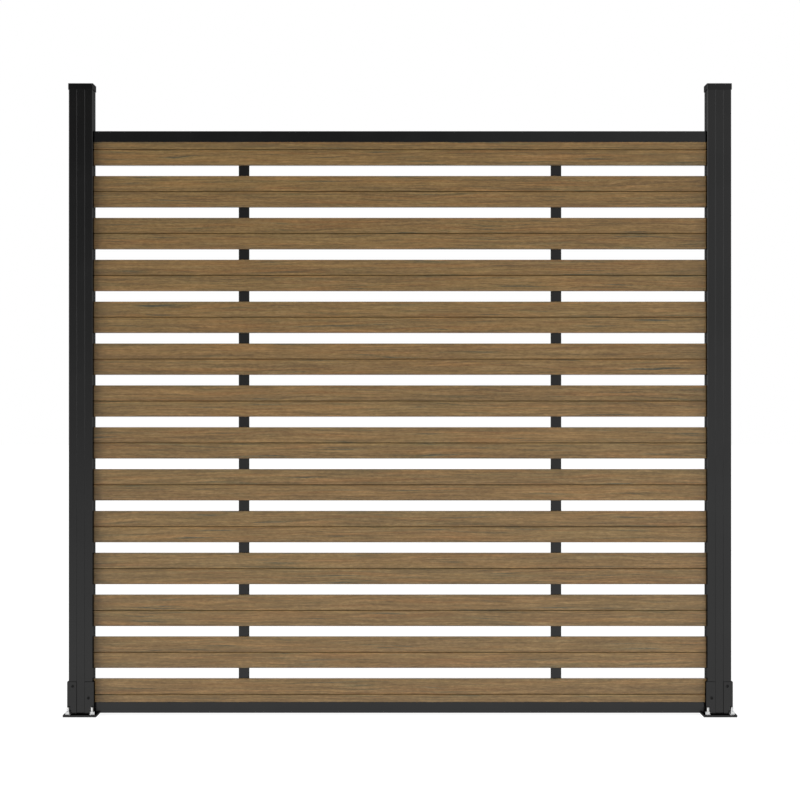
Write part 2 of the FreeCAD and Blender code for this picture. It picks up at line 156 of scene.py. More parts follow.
class Wire:
    """An output socket, so that node maths is written as plain expressions."""

    def __init__(self, tree, socket):
        self.tree = tree
        self.socket = socket

    def __add__(self, other):
        return self.tree.maths("ADD", self, other)

    def __radd__(self, other):
        return self.tree.maths("ADD", other, self)

    def __sub__(self, other):
        return self.tree.maths("SUBTRACT", self, other)

    def __rsub__(self, other):
        return self.tree.maths("SUBTRACT", other, self)

    def __mul__(self, other):
        return self.tree.maths("MULTIPLY", self, other)

    def __rmul__(self, other):
        return self.tree.maths("MULTIPLY", other, self)

    def __truediv__(self, other):
        return self.tree.maths("DIVIDE", self, other)

    def __rtruediv__(self, other):
        return self.tree.maths("DIVIDE", other, self)

    def __mod__(self, other):
        return self.tree.maths("FLOORED_MODULO", self, other)

    def __rmod__(self, other):
        return self.tree.maths("FLOORED_MODULO", other, self)

    def __neg__(self):
        return self * -1

    def __abs__(self):
        return self.tree.maths("ABSOLUTE", self)


class Tree:
    """Writes one node tree."""

    def __init__(self, nodes):
        self.nodes = nodes

    def node(self, kind, settings=None, sockets=None, output=0):
        """Adds a node: its settings first, then the values or links of its sockets."""
        made = self.nodes.nodes.new(kind)
        for name, setting in (settings or {}).items():
            setattr(made, name, setting)
        for name, given in (sockets or {}).items():
            if isinstance(given, Wire):
                self.nodes.links.new(given.socket, made.inputs[name])
            else:
                made.inputs[name].default_value = given
        return Wire(self, made.outputs[output]) if made.outputs else made

    def maths(self, operation, first, second=0.0, third=0.0):
        """A Math node."""
        settings = {"operation": operation}
        return self.node("ShaderNodeMath", settings, {0: first, 1: second, 2: third})

    def ramped(self, wire, low, high, from_value=0.0, to_value=1.0):
        """A value eased from one level to another while the wire goes from low to high."""
        settings = {"interpolation_type": "SMOOTHSTEP"}
        sockets = {
            "Value": wire,
            "From Min": low,
            "From Max": high,
            "To Min": from_value,
            "To Max": to_value,
        }
        return self.node("ShaderNodeMapRange", settings, sockets)

    def mixed(self, factor, first, second, blend="MIX"):
        """A mix of two colours."""
        settings = {"data_type": "RGBA", "blend_type": blend}
        return self.node("ShaderNodeMix", settings, {0: factor, 6: first, 7: second}, output=2)

    def vector(self, x, y, z):
        """A vector from three values."""
        return self.node("ShaderNodeCombineXYZ", None, {"X": x, "Y": y, "Z": z})

    def parts(self, vector):
        """The x, y and z of a vector."""
        split = self.node("ShaderNodeSeparateXYZ", None, {"Vector": vector}).socket.node
        return [Wire(self, split.outputs[axis]) for axis in "XYZ"]

    def noise(self, place, scale, detail=3.0, roughness=0.55):
        """Noise at a place."""
        sockets = {"Vector": place, "Scale": scale, "Detail": detail, "Roughness": roughness}
        return self.node("ShaderNodeTexNoise", None, sockets, output="Fac")


def rgb(red, green, blue):
    """A colour written in the usual 0 to 255 steps, as the linear values that shaders take."""
    def linear(step):
        share = step / 255
        return share / 12.92 if share <= 0.04045 else ((share + 0.055) / 1.055) ** 2.4
    return (linear(red), linear(green), linear(blue), 1)


def new_material(name):
    """A material with an empty tree, and the wire of the object's own coordinates."""
    material = bpy.data.materials.new(name)
    material.use_nodes = True
    material.node_tree.nodes.clear()
    tree = Tree(material.node_tree)
    place = tree.node("ShaderNodeTexCoord", None, None, output="Object")
    return material, tree, place


def shaded(tree, settings):
    """Ends a material in a Principled shader."""
    shader = tree.node("ShaderNodeBsdfPrincipled", None, settings)
    tree.node("ShaderNodeOutputMaterial", None, {"Surface": shader})


def bumped(tree, height, distance, strength=1.0):
    """A normal from a height."""
    sockets = {"Height": height, "Distance": distance, "Strength": strength}
    return tree.node("ShaderNodeBump", None, sockets)


def near_black(name, body, share, least_rough, most_rough, peel_depth):
    """Near-black body under a satin gloss that mirrors the same small share from every side."""
    material, tree, place = new_material(name)
    peel = tree.noise(place, 900, detail=2, roughness=0.5)
    cloud = tree.ramped(tree.noise(place, 6, detail=4, roughness=0.6), 0.35, 0.7)
    relief = bumped(tree, peel, peel_depth, 0.5)
    under = tree.node("ShaderNodeBsdfPrincipled", None, {
        "Base Color": body,
        "Roughness": 0.8,
        "Specular IOR Level": 0.0,
        "Normal": relief,
    })
    gloss = tree.node("ShaderNodeBsdfPrincipled", None, {
        "Base Color": (1, 1, 1, 1),
        "Metallic": 1.0,
        "Roughness": tree.ramped(cloud, 0, 1, least_rough, most_rough),
        "Normal": relief,
    })
    factor = tree.ramped(cloud, 0, 1, share * 0.97, share * 1.03)
    both = tree.node("ShaderNodeMixShader", None, {0: factor, 1: under, 2: gloss})
    tree.node("ShaderNodeOutputMaterial", None, {"Surface": both})
    return material


def powder_coat():
    """Anthracite powder coat of the posts, rails, strips, shoes and middle spacers."""
    return near_black("anthracite_powder_coat", rgb(1, 1, 1), 0.038, 0.15, 0.18, 0.01 * MM)


def cap_plastic():
    """Black plastic of the caps, duller than the coat."""
    return near_black("black_cap_plastic", rgb(1, 1, 1), 0.03, 0.18, 0.22, 0.02 * MM)


def brushed_boards():
    """Wood composite: brown with long orange and grey-green streaks and a brushed grain."""
    material, tree, place = new_material("brushed_wood_composite")
    board = tree.node("ShaderNodeAttribute", {"attribute_name": "board"}, None, output="Fac")
    x, y, z = tree.parts(place)
    # Each board takes its streaks from a place of its own in the noise.
    along = x + board * 7.31
    sway = tree.noise(tree.vector(along * 2.6, board, z * 14), 1, detail=3, roughness=0.5) - 0.5
    across = z + sway * 0.03

    def streaks(per_metre_along, per_metre_across, detail=3.0, roughness=0.6, shift=0.0):
        stretched = tree.vector(
            along * per_metre_along + shift,
            y * per_metre_across,
            across * per_metre_across + board * 3.7,
        )
        return tree.noise(stretched, 1, detail, roughness)

    tone = tree.ramped(streaks(0.8, 55), 0.36, 0.64)
    hue = tree.ramped(streaks(0.9, 22, 2, 0.5, shift=31.0), 0.36, 0.64)
    warm = tree.ramped(streaks(2.6, 120, 3, 0.55, shift=5.0), 0.48, 0.66)
    pale = tree.ramped(streaks(4.0, 240, 3, 0.6, shift=17.0), 0.48, 0.68)
    dark = streaks(4.2, 190, 2, 0.5, shift=11.0)
    olive = tree.ramped(dark, 0.56, 0.66)
    core = tree.ramped(dark, 0.66, 0.72)
    flecks = tree.ramped(streaks(34, 330, 3, 0.6, shift=23.0), 0.60, 0.74)
    grain = streaks(8, 340, 4, 0.62, shift=2.0)
    short_grain = streaks(75, 360, 3, 0.65, shift=3.0)

    colour = tree.mixed(tone, rgb(103, 76, 32), rgb(121, 90, 42))
    for share, tint in (
        (hue * 0.4, rgb(105, 85, 41)),
        (warm * 0.42, rgb(137, 90, 34)),
        (pale * 0.4, rgb(136, 108, 56)),
        (olive * 0.5, rgb(82, 75, 38)),
        (core * 0.85, rgb(44, 49, 36)),
        (flecks * 0.3, rgb(76, 56, 26)),
        # Pale fibres, light in the grain, and painted light: a grey sheen that grows towards the
        # lowest board.
        (tree.ramped(short_grain, 0.32, 0.72, 0.0, 0.14), rgb(146, 124, 92)),
        (tree.ramped(grain, 0.46, 0.74, 0.0, 0.08), rgb(168, 156, 136)),
        (tree.ramped(board, 0, TOP_BOARD, 0.06, 0.0), rgb(150, 140, 125)),
    ):
        colour = tree.mixed(share, colour, tint)

    # Darker in the grain; painted shade at the long edges and in the groove, a painted contact
    # shadow beside the posts, and painted shade that grows upwards.
    grain_and_painted_shade = tree.ramped(grain, 0.28, 0.72, 0.70, 1.26)
    grain_and_painted_shade = grain_and_painted_shade * tree.ramped(short_grain, 0.28, 0.72, 0.80, 1.17)
    from_middle = abs((z - BOARD_LOW.z) % BOARD_PITCH - BOARD_HALF)
    # Painted shade on the rounded long edges and down in the groove.
    grain_and_painted_shade = grain_and_painted_shade * tree.ramped(from_middle, BOARD_HALF - BOARD_ROUND, BOARD_HALF, 1.0, 0.84)
    grain_and_painted_shade = grain_and_painted_shade * tree.ramped(from_middle, GROOVE_FOOT, GROOVE_WIDTH / 2, 0.84, 1.0)
    # Painted contact shadow on the boards where they run into the posts.
    post_face = POST_X - POST_HALF
    grain_and_painted_shade = grain_and_painted_shade * tree.ramped(abs(x), post_face - 3 * MM, post_face, 1.0, 0.2)
    # Painted shade: the boards darker towards the top and paler towards the ground.
    grain_and_painted_shade = grain_and_painted_shade * tree.ramped(board, 0, TOP_BOARD, 0.93, 0.82)
    colour = tree.mixed(1.0, colour, tree.vector(grain_and_painted_shade, grain_and_painted_shade, grain_and_painted_shade), "MULTIPLY")
    brush = streaks(14, 1500, 2) + short_grain * 0.8
    shaded(tree, {
        "Base Color": colour,
        "Roughness": tree.ramped(grain, 0.2, 0.8, 0.36, 0.26),
        "IOR": 1.55,
        "Normal": bumped(tree, brush, 0.1 * MM, 0.4),
    })
    return material


def zinc_plate():
    """Bright zinc on the anchors, with a faint mottle and turning marks."""
    material, tree, place = new_material("bright_zinc_plate")
    mottle = tree.noise(place, 260, detail=3, roughness=0.6)
    patches = tree.ramped(mottle, 0.3, 0.7)
    per_metre = (400, 400, 5200)
    squeezed = tree.node("ShaderNodeVectorMath", {"operation": "MULTIPLY"}, {0: place, 1: per_metre})
    marks = tree.noise(squeezed, 1, detail=2)
    shaded(tree, {
        "Base Color": tree.mixed(patches, rgb(206, 207, 209), rgb(228, 228, 226)),
        "Metallic": 1.0,
        "Roughness": tree.ramped(mottle, 0.3, 0.7, 0.26, 0.38),
        "Normal": bumped(tree, marks, 0.03 * MM, 0.4),
    })
    return material


def black_screw_finish():
    """Black coating on the shoe screws."""
    return near_black("black_screw_coating", rgb(6, 6, 6), 0.016, 0.34, 0.44, 0.02 * MM)


def spacer_plastic():
    """Moulded plastic of the end spacers in the posts' slots."""
    return near_black("black_moulded_plastic", rgb(6, 6, 6), 0.018, 0.42, 0.52, 0.03 * MM)


COAT = powder_coat()
CAP_PLASTIC = cap_plastic()
BOARD_FINISH = brushed_boards()
ZINC = zinc_plate()
SCREW_FINISH = black_screw_finish()
PLASTIC = spacer_plastic()


def rounded(corners, steps=4):
    """The outline through (x, y, radius) corners, each one rounded by its radius."""
    outline = []
    count = len(corners)
    for i, (x, y, radius) in enumerate(corners):
        here = Vector((x, y))
        if radius <= 0:
            outline.append(here)
            continue
        back = (Vector(corners[i - 1][:2]) - here).normalized()
        ahead = (Vector(corners[(i + 1) % count][:2]) - here).normalized()
        half_angle = back.angle(ahead) / 2
        reach = radius / math.tan(half_angle)
        centre = here + (back + ahead).normalized() * (radius / math.sin(half_angle))
        first = here + back * reach - centre
        turn = first.angle_signed(here + ahead * reach - centre)
        for step in range(steps + 1):
            swing = Matrix.Rotation(-turn * step / steps, 2)
            outline.append(centre + swing @ first)
    return outline


def box_corners(half_x, half_y, radius):
    """The corners of a rectangle about the origin, counter-clockwise."""
    return [
        (-half_x, -half_y, radius),
        (half_x, -half_y, radius),
        (half_x, half_y, radius),
        (-half_x, half_y, radius),
    ]


def turned_quarter(corners, turns):
    """The corners turned about the origin by quarter turns."""
    for _ in range(turns):
        corners = [(-y, x, radius) for x, y, radius in corners]
    return corners


def circle_outline(x, y, radius, steps=32):
    """A circle as an outline."""
    turns = (2 * math.pi * step / steps for step in range(steps))
    return [Vector((x + radius * math.cos(turn), y + radius * math.sin(turn))) for turn in turns]


def smooth_over(mesh):
    """Smooth shading with sharp edges kept."""
    mesh.shade_smooth()
    mesh.set_sharp_from_angle(angle=math.radians(SHARP_DEGREES))


def plain_mesh(holder):
    """The mesh that an object has after its modifiers."""
    depsgraph = bpy.context.evaluated_depsgraph_get()
    return bpy.data.meshes.new_from_object(holder.evaluated_get(depsgraph))


def with_even_flats(mesh):
    """The mesh with normals weighted by face size, so that flats shade flat beside round edges."""
    holder = bpy.data.objects.new("even_flats", mesh)
    bpy.context.scene.collection.objects.link(holder)
    weighted = holder.modifiers.new("even_flats", "WEIGHTED_NORMAL")
    weighted.keep_sharp = True
    weighted.weight = 90
    made = plain_mesh(holder)
    bpy.data.objects.remove(holder)
    bpy.data.meshes.remove(mesh)
    return made


def finished(name, mesh, material, replaced=()):
    """Makes a mesh into a piece that rides on the frame and stands for its CAD nodes."""
    mesh.materials.clear()
    mesh.materials.append(material)
    smooth_over(mesh)
    mesh = with_even_flats(mesh)
    mesh.name = name
    piece = bpy.data.objects.new(name, mesh)
    bpy.context.scene.collection.objects.link(piece)
    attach(piece, "root")
    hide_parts(*replaced)
    return piece


def extruded(outlines, length, edge=0.0):
    """A mesh of outlines, the first the outer one, extruded to both sides of the XY plane."""
    curve = bpy.data.curves.new("section", "CURVE")
    curve.dimensions = "2D"
    curve.fill_mode = "BOTH"
    curve.extrude = length / 2 - edge
    if edge:
        curve.bevel_depth = edge
        curve.bevel_resolution = 1
        curve.offset = -edge
    for outline in outlines:
        spline = curve.splines.new("POLY")
        spline.points.add(len(outline) - 1)
        for point, place in zip(spline.points, outline):
            point.co = (place.x, place.y, 0, 1)
        spline.use_cyclic_u = True
    holder = bpy.data.objects.new("section", curve)
    mesh = bpy.data.meshes.new_from_object(holder)
    bpy.data.objects.remove(holder)
    bpy.data.curves.remove(curve)
    work = bmesh.new()
    work.from_mesh(mesh)
    bmesh.ops.remove_doubles(work, verts=work.verts, dist=1e-6)
    bmesh.ops.recalc_face_normals(work, faces=work.faces)
    work.to_mesh(mesh)
    work.free()
    return mesh


def lofted(rings, joined=False):
    """A mesh through rings of equally many points, closed at its ends or joined end to start."""
    work = bmesh.new()
    rows = [[work.verts.new(point) for point in ring] for ring in rings]
    pairs = list(zip(rows, rows[1:]))
    if joined:
        pairs.append((rows[-1], rows[0]))
    count = len(rows[0])
    for lower, upper in pairs:
        for i in range(count):
            j = (i + 1) % count
            work.faces.new((lower[i], lower[j], upper[j], upper[i]))
    if not joined:
        work.faces.new(list(reversed(rows[0])))
        work.faces.new(rows[-1])
    bmesh.ops.recalc_face_normals(work, faces=work.faces)
    mesh = bpy.data.meshes.new("loft")
    work.to_mesh(mesh)
    work.free()
    return mesh


def round_ring(radius, height, steps):
    """A ring round the Z axis; radius and height may be functions of the angle."""
    ring = []
    for step in range(steps):
        turn = 2 * math.pi * step / steps
        reach = radius(turn) if callable(radius) else radius
        level = height(turn) if callable(height) else height
        ring.append(Vector((reach * math.cos(turn), reach * math.sin(turn), level)))
    return ring


def hexagon_reach(turn, half_across):
    """How far a hexagon's outline is from its middle, with a flat towards +X."""
    sector = (turn + math.pi / 6) % (math.pi / 3) - math.pi / 6
    return half_across / math.cos(sector)


def moved(mesh, place, turn=0.0, axis="Z"):
    """The mesh turned about an axis and moved."""
    mesh.transform(Matrix.Translation(place) @ Matrix.Rotation(turn, 4, axis))
    return mesh


def joined(meshes):
    """Several meshes as one."""
    work = bmesh.new()
    for mesh in meshes:
        work.from_mesh(mesh)
        bpy.data.meshes.remove(mesh)
    mesh = bpy.data.meshes.new("joined")
    work.to_mesh(mesh)
    work.free()
    return mesh


def geometry_tree(name, **inputs):
    """A geometry tree with named inputs, its writer, and the wires of its inputs by name."""
    group = bpy.data.node_groups.new(name, "GeometryNodeTree")
    group.interface.new_socket("Geometry", in_out="INPUT", socket_type="NodeSocketGeometry")
    for label, kind in inputs.items():
        group.interface.new_socket(label, in_out="INPUT", socket_type=kind)
    group.interface.new_socket("Geometry", in_out="OUTPUT", socket_type="NodeSocketGeometry")
    tree = Tree(group)
    entry = tree.node("NodeGroupInput").socket.node
    wires = {socket.name: Wire(tree, socket) for socket in entry.outputs if socket.name}
    return group, tree, wires


def end_tree(tree, geometry, material):
    """Realizes the instances, sets the material and ends the tree."""
    real = tree.node("GeometryNodeRealizeInstances", None, {"Geometry": geometry})
    coated = tree.node("GeometryNodeSetMaterial", None, {"Geometry": real, "Material": material})
    tree.node("NodeGroupOutput", None, {"Geometry": coated})


def repeated(mesh, group, **sizes):
    """Runs a mesh through a geometry tree and returns the plain mesh that comes out."""
    holder = bpy.data.objects.new("repeat", mesh)
    bpy.context.scene.collection.objects.link(holder)
    modifier = holder.modifiers.new(group.name, "NODES")
    modifier.node_group = group
    for item in group.interface.items_tree:
        if item.in_out == "INPUT" and item.name in sizes:
            modifier[item.identifier] = sizes[item.name]
    made = plain_mesh(holder)
    holder.modifiers.remove(modifier)
    bpy.data.objects.remove(holder)
    return made


def stack_tree():
    """Repeats a piece upwards, and numbers the copies in the attribute "board"."""
    group, tree, wires = geometry_tree(
        "stack", Count="NodeSocketInt", Pitch="NodeSocketFloat", Finish="NodeSocketMaterial"
    )
    step = tree.vector(0.0, 0.0, wires["Pitch"])
    line = tree.node(
        "GeometryNodeMeshLine", {"mode": "OFFSET"}, {"Count": wires["Count"], "Offset": step}
    )
    copies = tree.node(
        "GeometryNodeInstanceOnPoints", None, {"Points": line, "Instance": wires["Geometry"]}
    )
    number = tree.node("GeometryNodeInputIndex")
    numbered = tree.node(
        "GeometryNodeStoreNamedAttribute",
        {"data_type": "FLOAT", "domain": "INSTANCE"},
        {"Geometry": copies, "Name": "board", "Value": number},
    )
    end_tree(tree, numbered, wires["Finish"])
    return group


def anchor_tree():
    """Repeats a piece at the four anchors of both base plates, each copy turned a little."""
    group, tree, wires = geometry_tree(
        "anchors",
        **{
            "Posts apart": "NodeSocketFloat",
            "Across": "NodeSocketFloat",
            "Along": "NodeSocketFloat",
            "Seed": "NodeSocketInt",
            "Finish": "NodeSocketMaterial",
        },
    )
    corners = tree.node(
        "GeometryNodeMeshGrid",
        None,
        {"Size X": wires["Across"], "Size Y": wires["Along"], "Vertices X": 2, "Vertices Y": 2},
    )
    twist = tree.node(
        "FunctionNodeRandomValue",
        {"data_type": "FLOAT"},
        {"Min": -ANCHOR_TWIST, "Max": ANCHOR_TWIST, "Seed": wires["Seed"]},
        output=1,
    )
    turn = tree.node("FunctionNodeEulerToRotation", None, {"Euler": tree.vector(0.0, 0.0, twist)})
    plate = tree.node(
        "GeometryNodeInstanceOnPoints",
        None,
        {"Points": corners, "Instance": wires["Geometry"], "Rotation": turn},
    )
    start = tree.vector(wires["Posts apart"] * -0.5, 0.0, 0.0)
    step = tree.vector(wires["Posts apart"], 0.0, 0.0)
    posts = tree.node(
        "GeometryNodeMeshLine",
        {"mode": "OFFSET"},
        {"Count": len(SIDES), "Start Location": start, "Offset": step},
    )
    plates = tree.node("GeometryNodeInstanceOnPoints", None, {"Points": posts, "Instance": plate})
    end_tree(tree, plates, wires["Finish"])
    return group


def screw_tree():
    """Repeats a front screw at the two places on the front and rear of both shoes."""
    group, tree, wires = geometry_tree(
        "screws",
        **{
            "Post": "NodeSocketFloat",
            "Offset": "NodeSocketFloat",
            "Face": "NodeSocketFloat",
            "Low": "NodeSocketFloat",
            "High": "NodeSocketFloat",
            "Finish": "NodeSocketMaterial",
        },
    )
    per_post, per_face = 4, 2
    number = tree.node("GeometryNodeInputIndex")
    side = tree.maths("FLOOR", number / per_post) * 2 - 1
    rear = tree.maths("FLOOR", (number % per_post) / per_face)
    upper = number % per_face
    facing = rear * 2 - 1
    across = side * (upper * 2 - 1) * facing * wires["Offset"] * -1
    level = wires["Low"] + upper * (wires["High"] - wires["Low"])
    place = tree.vector(side * wires["Post"] + across, facing * wires["Face"], level)
    count = len(SIDES) * per_post
    points = tree.node("GeometryNodePoints", None, {"Count": count, "Position": place})
    turn = tree.node(
        "FunctionNodeEulerToRotation", None, {"Euler": tree.vector(0.0, 0.0, rear * math.pi)}
    )
    copies = tree.node(
        "GeometryNodeInstanceOnPoints",
        None,
        {"Points": points, "Instance": wires["Geometry"], "Rotation": turn},
    )
    end_tree(tree, copies, wires["Finish"])
    return group


def make_boards():
    """Fourteen boards with rounded long edges and a groove along the middle of each face."""
    half_x = BOARD_HALF
    half_y = (BOARD_HIGH.y - BOARD_LOW.y) / 2
    mouth = GROOVE_WIDTH / 2
    lower = [
        (-half_x, -half_y, BOARD_ROUND),
        (-mouth, -half_y, GROOVE_LIP),
        (0, GROOVE_DEPTH - half_y, GROOVE_FOOT),
        (mouth, -half_y, GROOVE_LIP),
        (half_x, -half_y, BOARD_ROUND),
    ]
    corners = lower + [(-x, -y, radius) for x, y, radius in lower]
    length = BOARD_HIGH.x - BOARD_LOW.x
    mesh = extruded([rounded(corners, 5)], length)
    mesh.transform(Matrix.Rotation(math.pi / 2, 4, "Y"))
    moved(mesh, Vector((0, 0, (BOARD_LOW.z + BOARD_HIGH.z) / 2)))
    boards = repeated(mesh, STACK, Count=len(BOARD_NODES), Pitch=BOARD_PITCH, Finish=BOARD_FINISH)
    finished("boards", boards, BOARD_FINISH, BOARD_NODES)


def post_outlines():
    """The post's section: outline with four slots, hollow core and corner chambers."""
    groove = SLOT_HALF + SNAP_DEPTH
    start = POST_HALF - SNAP_BEHIND
    end = start - SNAP_HEIGHT
    floor = POST_HALF - SLOT_DEPTH
    upper = [
        (floor, SLOT_HALF, 0),
        (end, SLOT_HALF, 0),
        (end, groove, 0),
        (start, groove, 0),
        (start, SLOT_HALF, 0),
        (POST_HALF, SLOT_HALF, LIP),
    ]
    lower = [(x, -y, radius) for x, y, radius in reversed(upper)]
    face = [(POST_HALF, -POST_HALF, POST_CORNER)] + lower + upper
    outer = []
    for turns in range(4):
        outer += turned_quarter(face, turns)
    core = floor - WALL
    outlines = [rounded(outer), rounded(box_corners(core, core, INNER_CORNER))]
    near_edge, far_edge = floor, POST_HALF - WALL
    chamber = [
        (near_edge, near_edge, INNER_CORNER),
        (far_edge, near_edge, INNER_CORNER),
        (far_edge, far_edge, INNER_CORNER),
        (near_edge, far_edge, INNER_CORNER),
    ]
    for turns in range(4):
        outlines.append(rounded(turned_quarter(chamber, turns), 2))
    return outlines


def make_post(name, side):
    """Slotted post."""
    mesh = extruded(post_outlines(), POST_HIGH.z - POST_LOW.z)
    moved(mesh, Vector((side * POST_X, 0, (POST_LOW.z + POST_HIGH.z) / 2)))
    finished(f"{name}_post_profile", mesh, COAT, [f"{name}_post"])


def strip_outline():
    """A cover strip's section on the front face, with its two snap legs."""
    face = -POST_HALF
    leg = STRIP_HALF - STRIP_LEG_INSET
    barb = SLOT_HALF + SNAP_DEPTH - PLAY
    plate = face + STRIP_PLATE
    barb_start = face + SNAP_BEHIND + PLAY
    leg_end = face + SNAP_BEHIND + SNAP_HEIGHT - PLAY
    right = [
        (STRIP_HALF, face, LIP),
        (STRIP_HALF, plate, 0),
        (leg, plate, 0),
        (leg, barb_start, 0),
        (barb, barb_start, 0),
        (leg, leg_end, 0),
        (leg - STRIP_LEG, leg_end, 0),
        (leg - STRIP_LEG, plate, 0),
    ]
    left = [(-x, y, radius) for x, y, radius in reversed(right)]
    return rounded(right + left)


def make_strip(name, face, side, turn, low, high):
    """Cover or filler strip in one slot of a post."""
    mesh = extruded([strip_outline()], high - low)
    moved(mesh, Vector((side * POST_X, 0, (low + high) / 2)), turn)
    node = f"{name}_{face}_strip"
    finished(f"{node}_profile", mesh, COAT, [node])


def make_cap(name, side):
    """Flat cap with a rounded upper edge and a skirt round the post."""
    half = (CAP_HIGH.x - CAP_LOW.x) / 2
    edge_steps = 4
    rings = []

    def ring(inset, level):
        radius = max(CAP_CORNER - inset, CAP_LEAST_CORNER)
        outline = rounded(box_corners(half - inset, half - inset, radius), 6)
        rings.append([Vector((point.x, point.y, level)) for point in outline])

    ring(CAP_WALL, CAP_HIGH.z - CAP_TOP)
    ring(CAP_WALL, CAP_LOW.z)
    ring(CAP_FOOT_EDGE, CAP_LOW.z)
    ring(0, CAP_LOW.z + CAP_FOOT_EDGE)
    for step in range(edge_steps + 1):
        turn = math.pi / 2 * step / edge_steps
        ring(CAP_ROUND * (1 - math.cos(turn)), CAP_HIGH.z - CAP_ROUND * (1 - math.sin(turn)))
    mesh = moved(lofted(rings), Vector((side * POST_X, 0, 0)))
    finished(f"{name}_cap", mesh, CAP_PLASTIC, [f"{name}_post_cap"])


def make_shoe(name, side):
    """Base plate and four corner angles."""
    half_x = (PLATE_HIGH.x - PLATE_LOW.x) / 2
    half_y = (PLATE_HIGH.y - PLATE_LOW.y) / 2
    outlines = [rounded(box_corners(half_x, half_y, PLATE_CORNER), 6)]
    for x in (-ANCHOR_X, ANCHOR_X):
        for y in (-ANCHOR_Y, ANCHOR_Y):
            outlines.append(circle_outline(x, y, ANCHOR_HOLE))
    plate = extruded(outlines, PLATE_TOP, PLATE_BROKEN_EDGE)
    moved(plate, Vector((0, 0, PLATE_TOP / 2)))
    corners = [
        (ANGLE_OUTSIDE, ANGLE_OUTSIDE, ANGLE_OUTER_ROUND),
        (ANGLE_EDGE, ANGLE_OUTSIDE, 0),
        (ANGLE_EDGE, ANGLE_INSIDE, 0),
        (ANGLE_INSIDE, ANGLE_INSIDE, ANGLE_INNER_ROUND),
        (ANGLE_INSIDE, ANGLE_EDGE, 0),
        (ANGLE_OUTSIDE, ANGLE_EDGE, 0),
    ]
    meshes = [plate]
    height = SHOE_TOP - PLATE_TOP
    for turns in range(4):
        outline = rounded(turned_quarter(corners, turns), 5)
        angle = extruded([outline], height, ANGLE_BROKEN_EDGE)
        meshes.append(moved(angle, Vector((0, 0, PLATE_TOP + height / 2))))
    mesh = moved(joined(meshes), Vector((side * POST_X, 0, 0)))
    finished(f"{name}_shoe", mesh, COAT, [f"{name}_base_shoe"])


def make_rail(node, box, upside_down):
    """Channel rail with a hollow cell behind the board's edge."""
    low, high = box
    half = (high.y - low.y) / 2
    height = high.z - low.z
    mouth = half - RAIL_WALL
    right = [
        (half, 0, RAIL_ROUND),
        (half, height, RAIL_LIP),
        (mouth, height, RAIL_LIP),
        (mouth, RAIL_BASE, 0),
    ]
    left = [(-x, y, radius) for x, y, radius in reversed(right)]
    cell_low, cell_high = RAIL_WEB, RAIL_BASE - RAIL_WEB
    cell = [
        (-mouth, cell_low, 0),
        (mouth, cell_low, 0),
        (mouth, cell_high, 0),
        (-mouth, cell_high, 0),
    ]
    mesh = extruded([rounded(right + left, 3), rounded(cell)], high.x - low.x)
    upright = Matrix(((0, 0, 1, 0), (1, 0, 0, 0), (0, 1, 0, 0), (0, 0, 0, 1)))
    mesh.transform(upright)
    turn = math.pi if upside_down else 0
    level = high.z if upside_down else low.z
    moved(mesh, Vector((0, 0, level)), turn, "X")
    finished(f"{node}_channel", mesh, COAT, [node])


def make_spacers(name, side, node, box, finish):
    """Column of blocks in the gaps between the boards."""
    low, high = box
    half_x = (high.x - low.x) / 2
    half_y = (high.y - low.y) / 2
    gap = BOARD_PITCH - (BOARD_HIGH.z - BOARD_LOW.z)
    outline = rounded(box_corners(half_x, half_y, INNER_CORNER))
    block = extruded([outline], gap)
    centre = Vector((side * (low.x + high.x) / 2, (low.y + high.y) / 2, low.z + gap / 2))
    moved(block, centre)
    column = repeated(block, STACK, Count=TOP_BOARD, Pitch=BOARD_PITCH, Finish=finish)
    finished(f"{name}_{node}_column", column, finish, [f"{name}_{node}"])


def stud_mesh():
    """Threaded stud with a turned tip: the radius follows a helix."""
    height = STUD_HIGH.z
    depth = 0.61 * THREAD_PITCH
    tip = 1 * MM
    rings_per_turn = 6

    def radius_at(level):
        def radius(turn):
            phase = (level / THREAD_PITCH - turn / (2 * math.pi)) % 1
            flank = abs(phase - 0.5) * 2
            cut = depth * min(1.0, max(0.0, flank * 1.25 - 0.12))
            taper = max(0.0, level - (height - tip))
            return STUD_RADIUS - cut * 0.8 - taper * 0.8
        return radius

    count = int(height / (THREAD_PITCH / rings_per_turn))
    levels = [height * i / count for i in range(count + 1)]
    return lofted([round_ring(radius_at(level), level, 24) for level in levels])


def washer_mesh():
    """Flat washer."""
    low, high = WASHER_LOW.z, WASHER_HIGH.z
    bore = STUD_RADIUS + PLAY
    section = [
        (bore, low),
        (WASHER_RADIUS - WASHER_EDGE, low),
        (WASHER_RADIUS, low + WASHER_EDGE),
        (WASHER_RADIUS, high - WASHER_EDGE),
        (WASHER_RADIUS - WASHER_EDGE, high),
        (bore, high),
    ]
    return lofted([round_ring(radius, level, 40) for radius, level in section], joined=True)


def nut_mesh():
    """Hexagon nut with turned corners above and below."""
    low, high = NUT_LOW.z, NUT_HIGH.z
    flat = NUT_ACROSS / 2
    crown = flat * 0.97
    slope = math.tan(math.radians(30))
    bore = STUD_RADIUS - 0.3 * MM
    countersink = 0.5 * MM

    def outside(turn):
        return hexagon_reach(turn + math.pi / 6, flat)

    def fall(turn):
        return (outside(turn) - crown) * slope

    section = [
        (bore, low),
        (crown, low),
        (outside, lambda turn: low + fall(turn)),
        (outside, lambda turn: high - fall(turn)),
        (crown, high),
        (STUD_RADIUS + countersink, high),
        (bore, high - countersink),
    ]
    return lofted([round_ring(radius, level, 48) for radius, level in section], joined=True)


